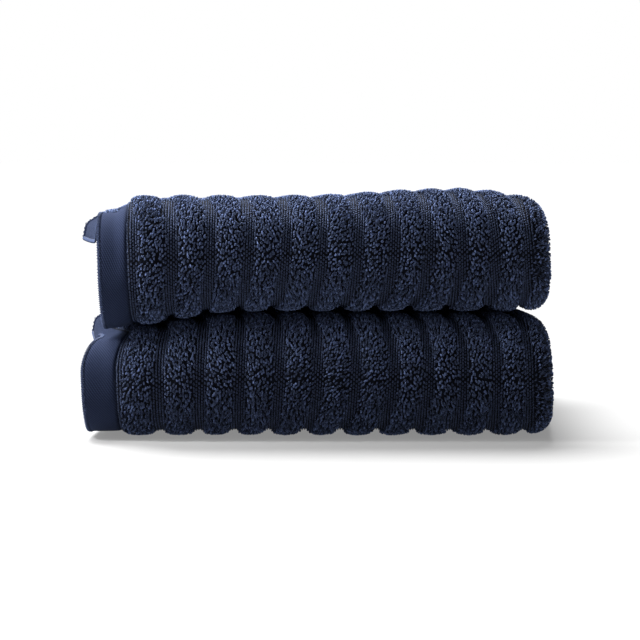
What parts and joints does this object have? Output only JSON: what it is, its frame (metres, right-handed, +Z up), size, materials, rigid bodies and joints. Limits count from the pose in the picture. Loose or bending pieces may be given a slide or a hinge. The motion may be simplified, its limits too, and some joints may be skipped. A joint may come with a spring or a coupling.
{
  "type": "folded bath towel set",
  "caption": "Two thick ribbed terry bath towels, each folded to a rounded front edge with a flat-woven end band, stacked one on the other.",
  "frame": {"origin": "on the floor, under the middle of the stack's box", "axes": "+Z up; the rounded front folds face -Y, so +Y runs to the open back edges along the ribs; +X across the ribs, from the flat-woven end bands to the round end folds"},
  "size_m": [0.4196, 0.3963, 0.196],
  "materials": {
    "terry_pile": "looped cotton pile, dark navy",
    "flat_weave": "flat-woven twill cotton, dark navy",
    "sewing_thread": "cotton sewing thread, dark navy"
  },
  "bodies": {
    "lower_towel": {"lower_towel_terry_body": "terry_pile", "lower_towel_outer_end_band": "flat_weave", "lower_towel_inner_end_band": "flat_weave", "lower_towel_lower_side_hem": "flat_weave", "lower_towel_upper_side_hem": "flat_weave", "lower_towel_outer_end_edging": "sewing_thread", "lower_towel_inner_end_edging": "sewing_thread", "lower_towel_lower_side_stitching": "sewing_thread", "lower_towel_upper_side_stitching": "sewing_thread"},
    "upper_towel": {"upper_towel_terry_body": "terry_pile", "upper_towel_outer_end_band": "flat_weave", "upper_towel_inner_end_band": "flat_weave", "upper_towel_lower_side_hem": "flat_weave", "upper_towel_upper_side_hem": "flat_weave", "upper_towel_outer_end_edging": "sewing_thread", "upper_towel_inner_end_edging": "sewing_thread", "upper_towel_lower_side_stitching": "sewing_thread", "upper_towel_upper_side_stitching": "sewing_thread"}
  },
  "joints": [
    {"name": "upper_towel_lift", "type": "slide", "parent": "lower_towel", "child": "upper_towel", "axis": [0, 0, 1], "range_m": [0, 0.2]}
  ]
}
